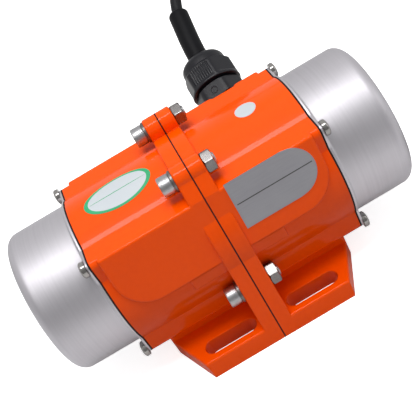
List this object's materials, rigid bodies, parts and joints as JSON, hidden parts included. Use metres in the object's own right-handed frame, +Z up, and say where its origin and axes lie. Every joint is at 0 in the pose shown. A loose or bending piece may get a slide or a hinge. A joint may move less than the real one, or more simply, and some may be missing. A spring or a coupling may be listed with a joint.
{
  "type": "vibration motor",
  "caption": "Electric vibration motor: split cast housing on slotted feet, drawn end caps over eccentric weights, and a cable that leaves through a gland.",
  "frame": {"origin": "on the mounting plane, below the middle of the shaft, at the joint of the two housing halves", "axes": "+X along the shaft towards the gland's half, +Z up from the feet, +Y towards the gland's side"},
  "size_m": [0.3054, 0.1925, 0.127],
  "materials": {
    "powder_coat": "orange powder coat on cast aluminium, glossy",
    "drawn_aluminium": "deep-drawn aluminium sheet, satin",
    "gasket_rubber": "thin dark gasket sheet",
    "zinc_steel": "zinc-plated steel",
    "black_nylon": "black moulded nylon",
    "black_rubber": "black cable sheath",
    "core_lamination": "stacked electrical steel",
    "copper": "enamelled copper",
    "cage_aluminium": "cast aluminium",
    "ground_steel": "turned and ground steel",
    "bearing_steel": "hardened bearing steel",
    "core_insulation": "insulated cable cores",
    "tie_nylon": "black band"
  },
  "bodies": {
    "frame": {"bearing_cover_left": "ground_steel", "bearing_cover_right": "ground_steel", "bearing_outer_left": "bearing_steel", "bearing_outer_right": "bearing_steel", "cable_coil": "black_rubber", "cable_cores": "core_insulation", "cable_sleeve": "black_rubber", "cable_tail": "black_rubber", "cap_gasket_left": "gasket_rubber", "cap_gasket_right": "gasket_rubber", "cap_screws_left": "zinc_steel", "cap_screws_right": "zinc_steel", "coil_tie": "tie_nylon", "end_cap_left": "drawn_aluminium", "end_cap_right": "drawn_aluminium", "flange_bolts": "zinc_steel", "flange_nuts": "zinc_steel", "flange_washers": "zinc_steel", "gland_body": "black_nylon", "gland_nut": "black_nylon", "gland_seal": "black_rubber", "housing_gasket": "gasket_rubber", "housing_left": "powder_coat", "housing_right": "powder_coat", "power_cable": "black_rubber", "stator_core": "core_lamination", "stator_windings": "copper"},
    "rotor": {"shaft": "ground_steel", "rotor_core": "core_lamination", "rotor_cage": "cage_aluminium", "bearing_inner_left": "bearing_steel", "bearing_inner_right": "bearing_steel", "inner_weight_left": "ground_steel", "inner_weight_right": "ground_steel", "weight_keys": "ground_steel", "weight_spacers": "ground_steel", "retaining_rings": "ground_steel"},
    "ball_ring_left": {"bearing_balls_left": "bearing_steel"},
    "ball_ring_right": {"bearing_balls_right": "bearing_steel"},
    "set_weight_left": {"outer_weight_left": "ground_steel", "weight_clamp_screw_left": "ground_steel"},
    "set_weight_right": {"outer_weight_right": "ground_steel", "weight_clamp_screw_right": "ground_steel"}
  },
  "joints": [
    {"name": "rotor_spin", "type": "hinge", "parent": "frame", "child": "rotor", "pos_m": [0, 0, 0.05], "axis": [1, 0, 0], "continuous": true},
    {"name": "balls_left_roll", "type": "hinge", "parent": "frame", "child": "ball_ring_left", "pos_m": [0, 0, 0.05], "axis": [1, 0, 0], "continuous": true},
    {"name": "balls_right_roll", "type": "hinge", "parent": "frame", "child": "ball_ring_right", "pos_m": [0, 0, 0.05], "axis": [1, 0, 0], "continuous": true},
    {"name": "weight_left_setting", "type": "hinge", "parent": "rotor", "child": "set_weight_left", "pos_m": [0, 0, 0.05], "axis": [1, 0, 0], "range_deg": [0, 180]},
    {"name": "weight_right_setting", "type": "hinge", "parent": "rotor", "child": "set_weight_right", "pos_m": [0, 0, 0.05], "axis": [1, 0, 0], "range_deg": [0, 180]}
  ],
  "couplings": [
    {"joint": "balls_left_roll", "follows": "rotor_spin", "ratio": 0.3797},
    {"joint": "balls_right_roll", "follows": "rotor_spin", "ratio": 0.3797}
  ]
}
